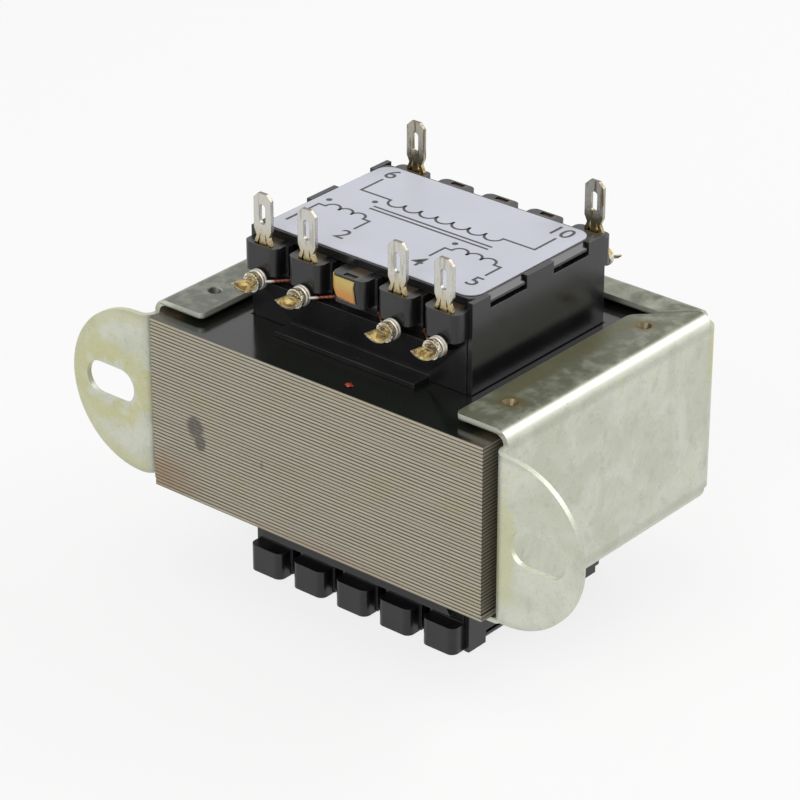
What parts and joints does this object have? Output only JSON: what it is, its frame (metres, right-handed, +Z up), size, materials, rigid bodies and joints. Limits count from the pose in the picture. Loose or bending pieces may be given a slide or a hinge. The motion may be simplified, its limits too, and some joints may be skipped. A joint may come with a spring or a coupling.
{
  "type": "laminated chassis transformer",
  "caption": "Small mains transformer with an interleaved steel core, a folded clamp with slotted feet, a covered coil former and upright solder tags.",
  "frame": {"origin": "midway between the two fixing slots, on the front plane of the feet", "axes": "+X along the line of the feet, +Y away from the mounting face through the clamp, +Z up towards the terminal side"},
  "size_m": [0.0832, 0.0459, 0.0545],
  "materials": {
    "core_steel": "varnished, matt",
    "plated_steel": "passivated zinc, satin",
    "black_plastic": "glossy",
    "enamelled_wire": "glossy enamel",
    "amber_tape": "satin film",
    "label_paper": "matt",
    "tinned_brass": "bright tinned",
    "solder": "bright, flux-stained"
  },
  "bodies": {
    "root": {"e_laminations": "core_steel", "i_laminations": "core_steel", "mounting_clamp": "plated_steel", "coil_former": "black_plastic", "primary_winding": "enamelled_wire", "primary_tape": "amber_tape", "inner_secondary": "enamelled_wire", "interlayer_tape": "amber_tape", "outer_secondary": "enamelled_wire", "outer_tape": "amber_tape", "left_shroud": "black_plastic", "right_shroud": "black_plastic", "top_lid": "black_plastic", "bottom_lid": "black_plastic", "terminal_label": "label_paper", "tape_patch": "amber_tape", "tag_1": "tinned_brass", "tag_2": "tinned_brass", "tag_4": "tinned_brass", "tag_5": "tinned_brass", "tag_6": "tinned_brass", "tag_10": "tinned_brass", "solder_1": "solder", "solder_2": "solder", "solder_4": "solder", "solder_5": "solder", "solder_6": "solder", "solder_10": "solder"}
  },
  "joints": []
}
